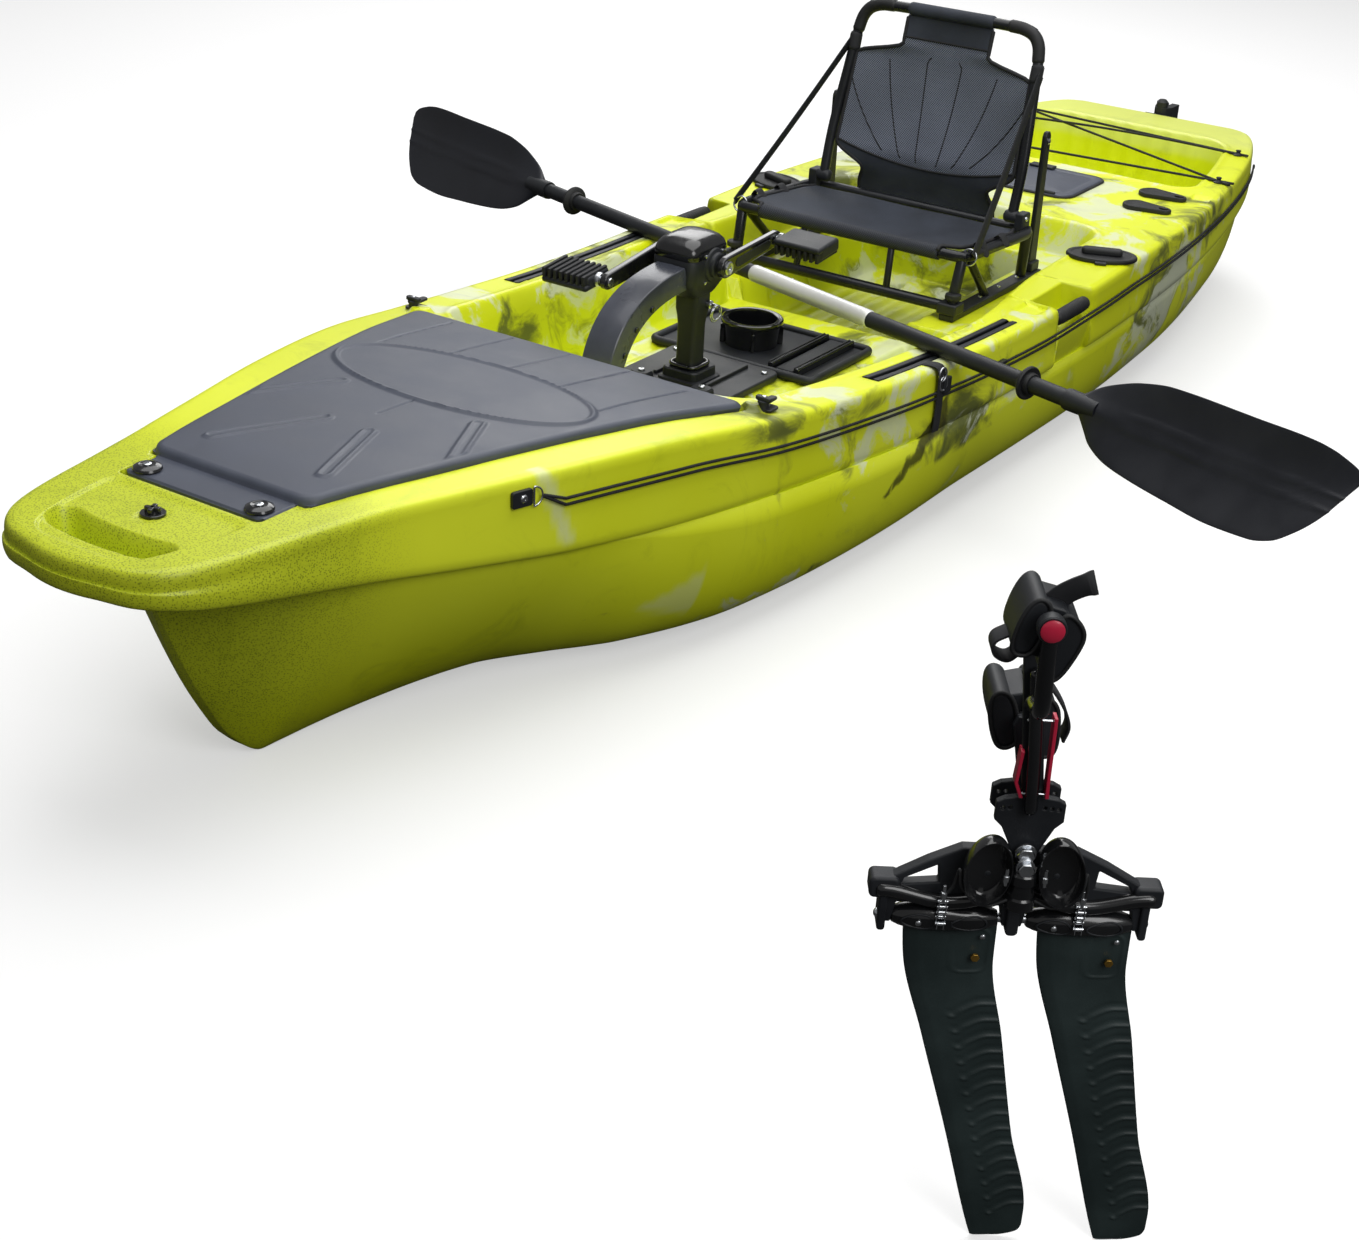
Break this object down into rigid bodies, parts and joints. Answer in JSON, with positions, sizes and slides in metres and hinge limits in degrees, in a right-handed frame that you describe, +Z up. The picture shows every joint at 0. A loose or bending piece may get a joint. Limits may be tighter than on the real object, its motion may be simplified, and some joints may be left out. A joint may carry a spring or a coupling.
{
  "type": "sit-on-top pedal kayak",
  "caption": "Sit-on-top pedal kayak with a framed seat, folding propeller drive, rudder, hatches, a two-piece paddle and a spare fin drive.",
  "frame": {"origin": "on the flat of the keel below the front of the seat", "axes": "+Y runs aft along the hull, +X to port, +Z up"},
  "size_m": [2.7379, 3.838, 0.8155],
  "materials": {
    "hull_lime": "satin marbled",
    "lid_slate": "satin",
    "black_plastic": "satin",
    "black_gloss": "gloss",
    "black_rubber": "matt",
    "guard_slate": "semi-gloss",
    "seat_tube": "black anodised",
    "mesh_cloth": "woven mesh",
    "bright_steel": "brushed",
    "silver_tube": "satin"
  },
  "bodies": {
    "boat": {"hull": "hull_lime", "gear_track_port": "black_plastic", "gear_track_starboard": "black_plastic", "drive_base_plate": "black_plastic", "drive_mast": "black_plastic", "gearbox_housing": "black_gloss", "gearbox_cover": "black_gloss", "arch_guard": "guard_slate", "console_tray": "black_plastic", "cup_holder": "black_plastic", "rudder_bracket": "black_plastic", "tank_well_bungee": "black_rubber", "trolley_line": "black_rubber"},
    "front_hatch": {"front_hatch_lid": "lid_slate", "hatch_bolt_port": "black_plastic", "hatch_bolt_starboard": "black_plastic"},
    "drain_plug": {"bow_drain_plug": "black_plastic"},
    "rear_hatch": {"rear_hatch_lid": "lid_slate"},
    "crank": {"crank_spindle": "bright_steel", "crank_arm_port": "black_plastic", "crank_arm_starboard": "black_plastic"},
    "drive_shaft": {"drive_shaft": "bright_steel"},
    "drive_leg": {"drive_leg": "black_plastic"},
    "propeller": {"propeller": "black_plastic"},
    "release_pin": {"release_pin": "bright_steel"},
    "seat": {"seat_base_frame": "seat_tube", "seat_sling": "mesh_cloth", "seat_strap_port": "mesh_cloth", "seat_strap_starboard": "mesh_cloth"},
    "seat_back": {"seat_back_frame": "seat_tube", "seat_back_panel": "mesh_cloth"},
    "rudder": {"rudder_head": "black_plastic"},
    "rudder_blade": {"rudder_blade": "black_plastic"},
    "paddle": {"paddle_shaft_starboard": "black_plastic", "paddle_blade_starboard": "black_plastic", "drip_ring_starboard": "black_rubber", "paddle_ferrule": "silver_tube"},
    "paddle_port": {"paddle_shaft_port": "black_plastic", "paddle_blade_port": "black_plastic", "drip_ring_port": "black_rubber"},
    "fin_drive": {"fin_drive_frame": "black_plastic"},
    "fin_arm_near": {"fin_arm_near": "black_plastic"},
    "fin_arm_far": {"fin_arm_far": "black_plastic"},
    "fin_pedal_near": {"fin_pedal_near": "black_plastic"},
    "fin_pedal_far": {"fin_pedal_far": "black_plastic"},
    "fin_bow": {"fin_bow": "black_rubber"},
    "fin_stern": {"fin_stern": "black_rubber"},
    "hatch_latch_port": {"hatch_latch_port": "black_plastic"},
    "carry_handle_port": {"carry_handle_port": "black_rubber"},
    "rod_tube_cap_port": {"rod_tube_cap_port": "black_plastic"},
    "rod_lid_front_port": {"rod_lid_front_port": "black_rubber"},
    "rod_lid_back_port": {"rod_lid_back_port": "black_rubber"},
    "pedal_port": {"pedal_port": "black_plastic"},
    "hatch_latch_starboard": {"hatch_latch_starboard": "black_plastic"},
    "carry_handle_starboard": {"carry_handle_starboard": "black_rubber"},
    "rod_tube_cap_starboard": {"rod_tube_cap_starboard": "black_plastic"},
    "rod_lid_front_starboard": {"rod_lid_front_starboard": "black_rubber"},
    "rod_lid_back_starboard": {"rod_lid_back_starboard": "black_rubber"},
    "pedal_starboard": {"pedal_starboard": "black_plastic"}
  },
  "joints": [
    {"name": "front_hatch_hinge", "type": "hinge", "parent": "boat", "child": "front_hatch", "pos_m": [0, -1.94602, 0.44], "axis": [1, 0, 0], "range_deg": [0, 100]},
    {"name": "drain_plug_turn", "type": "hinge", "parent": "boat", "child": "drain_plug", "pos_m": [0, -2.02508, 0.44], "axis": [0, 0, 1], "range_deg": [0, 360]},
    {"name": "rear_hatch_hinge", "type": "hinge", "parent": "boat", "child": "rear_hatch", "pos_m": [0, 0.57462, 0.3583], "axis": [1, 0, 0], "range_deg": [0, 100]},
    {"name": "hatch_latch_turn_port", "type": "hinge", "parent": "boat", "child": "hatch_latch_port", "pos_m": [0.365, -1.05655, 0.39037], "axis": [0, 0, 1], "range_deg": [0, 90]},
    {"name": "carry_handle_swing_port", "type": "hinge", "parent": "boat", "child": "carry_handle_port", "pos_m": [0.427, -0.04026, 0.30728], "axis": [0, -1, 0], "range_deg": [0, 65]},
    {"name": "rod_tube_cap_lift_port", "type": "slide", "parent": "boat", "child": "rod_tube_cap_port", "axis": [0, 0, 1], "range_m": [0, 0.06]},
    {"name": "rod_lid_front_lift_port", "type": "slide", "parent": "boat", "child": "rod_lid_front_port", "axis": [0, 0, 1], "range_m": [0, 0.04]},
    {"name": "rod_lid_back_lift_port", "type": "slide", "parent": "boat", "child": "rod_lid_back_port", "axis": [0, 0, 1], "range_m": [0, 0.04]},
    {"name": "hatch_latch_turn_starboard", "type": "hinge", "parent": "boat", "child": "hatch_latch_starboard", "pos_m": [-0.365, -1.05655, 0.39037], "axis": [0, 0, -1], "range_deg": [0, 90]},
    {"name": "carry_handle_swing_starboard", "type": "hinge", "parent": "boat", "child": "carry_handle_starboard", "pos_m": [-0.427, -0.04026, 0.30728], "axis": [0, 1, 0], "range_deg": [0, 65]},
    {"name": "rod_tube_cap_lift_starboard", "type": "slide", "parent": "boat", "child": "rod_tube_cap_starboard", "axis": [0, 0, 1], "range_m": [0, 0.06]},
    {"name": "rod_lid_front_lift_starboard", "type": "slide", "parent": "boat", "child": "rod_lid_front_starboard", "axis": [0, 0, 1], "range_m": [0, 0.04]},
    {"name": "rod_lid_back_lift_starboard", "type": "slide", "parent": "boat", "child": "rod_lid_back_starboard", "axis": [0, 0, 1], "range_m": [0, 0.04]},
    {"name": "crank_spin", "type": "hinge", "parent": "boat", "child": "crank", "pos_m": [0, -0.72187, 0.484], "axis": [1, 0, 0], "continuous": true},
    {"name": "pedal_spin_port", "type": "hinge", "parent": "crank", "child": "pedal_port", "pos_m": [0.088, -0.5567, 0.50057], "axis": [1, 0, 0], "continuous": true},
    {"name": "pedal_spin_starboard", "type": "hinge", "parent": "crank", "child": "pedal_starboard", "pos_m": [-0.088, -0.88704, 0.46743], "axis": [1, 0, 0], "continuous": true},
    {"name": "drive_shaft_spin", "type": "hinge", "parent": "boat", "child": "drive_shaft", "pos_m": [0, -0.72187, 0.3], "axis": [0, 0, 1], "continuous": true},
    {"name": "leg_fold", "type": "hinge", "parent": "boat", "child": "drive_leg", "pos_m": [0, -0.71187, 0.054], "axis": [-1, 0, 0], "range_deg": [0, 90]},
    {"name": "propeller_spin", "type": "hinge", "parent": "drive_leg", "child": "propeller", "pos_m": [0, -0.38187, 0.02], "axis": [0, 0, 1], "continuous": true},
    {"name": "release_pin_pull", "type": "slide", "parent": "boat", "child": "release_pin", "axis": [1, 0, 0], "range_m": [0, 0.0155]},
    {"name": "seat_slide", "type": "slide", "parent": "boat", "child": "seat", "axis": [0, 1, 0], "range_m": [-0.05, 0.12]},
    {"name": "seat_back_fold", "type": "hinge", "parent": "seat", "child": "seat_back", "pos_m": [0, 0.13387, 0.424], "axis": [1, 0, 0], "range_deg": [0, 85], "deforming": ["seat_strap_port", "seat_strap_starboard"]},
    {"name": "rudder_yaw", "type": "hinge", "parent": "boat", "child": "rudder", "pos_m": [0, 1.4923, 0.34], "axis": [0, 0, 1], "range_deg": [-40, 40]},
    {"name": "rudder_blade_kick", "type": "hinge", "parent": "rudder", "child": "rudder_blade", "pos_m": [0, 1.5343, 0.3421], "axis": [1, 0, 0], "range_deg": [0, 100]},
    {"name": "paddle_lift", "type": "slide", "parent": "boat", "child": "paddle", "axis": [0, 0, 1], "range_m": [0, 0.3]},
    {"name": "paddle_feather", "type": "hinge", "parent": "paddle", "child": "paddle_port", "pos_m": [0.08515, -0.43321, 0.36379], "axis": [0.9569, -0.2903, 0.0078], "range_deg": [-60, 60]},
    {"name": "fin_drive_lift", "type": "slide", "parent": "boat", "child": "fin_drive", "axis": [0, 0, 1], "range_m": [0, 0.3]},
    {"name": "fin_arm_near_swing", "type": "hinge", "parent": "fin_drive", "child": "fin_arm_near", "pos_m": [1.328, -2.138, 0.511], "axis": [-0.5564, 0.8309, 0], "range_deg": [-25, 25]},
    {"name": "fin_arm_far_swing", "type": "hinge", "parent": "fin_drive", "child": "fin_arm_far", "pos_m": [1.328, -2.138, 0.511], "axis": [-0.5564, 0.8309, 0], "range_deg": [-25, 25]},
    {"name": "fin_pedal_near_tilt", "type": "hinge", "parent": "fin_arm_near", "child": "fin_pedal_near", "pos_m": [1.30806, -2.15135, 0.783], "axis": [-0.5564, 0.8309, 0], "range_deg": [-35, 35]},
    {"name": "fin_pedal_far_tilt", "type": "hinge", "parent": "fin_arm_far", "child": "fin_pedal_far", "pos_m": [1.31803, -2.14468, 0.633], "axis": [-0.5564, 0.8309, 0], "range_deg": [-35, 35]},
    {"name": "fin_bow_sweep", "type": "hinge", "parent": "fin_drive", "child": "fin_bow", "pos_m": [1.2715, -2.17583, 0.418], "axis": [0.8309, 0.5564, 0], "range_deg": [-50, 50]},
    {"name": "fin_stern_sweep", "type": "hinge", "parent": "fin_drive", "child": "fin_stern", "pos_m": [1.3845, -2.10017, 0.418], "axis": [0.8309, 0.5564, 0], "range_deg": [-50, 50]}
  ],
  "couplings": [
    {"joint": "drive_shaft_spin", "follows": "crank_spin", "ratio": 1.5714},
    {"joint": "propeller_spin", "follows": "crank_spin", "ratio": 8},
    {"joint": "fin_arm_far_swing", "follows": "fin_arm_near_swing", "ratio": -1},
    {"joint": "fin_bow_sweep", "follows": "fin_arm_near_swing", "ratio": 2},
    {"joint": "fin_stern_sweep", "follows": "fin_arm_near_swing", "ratio": -2}
  ]
}
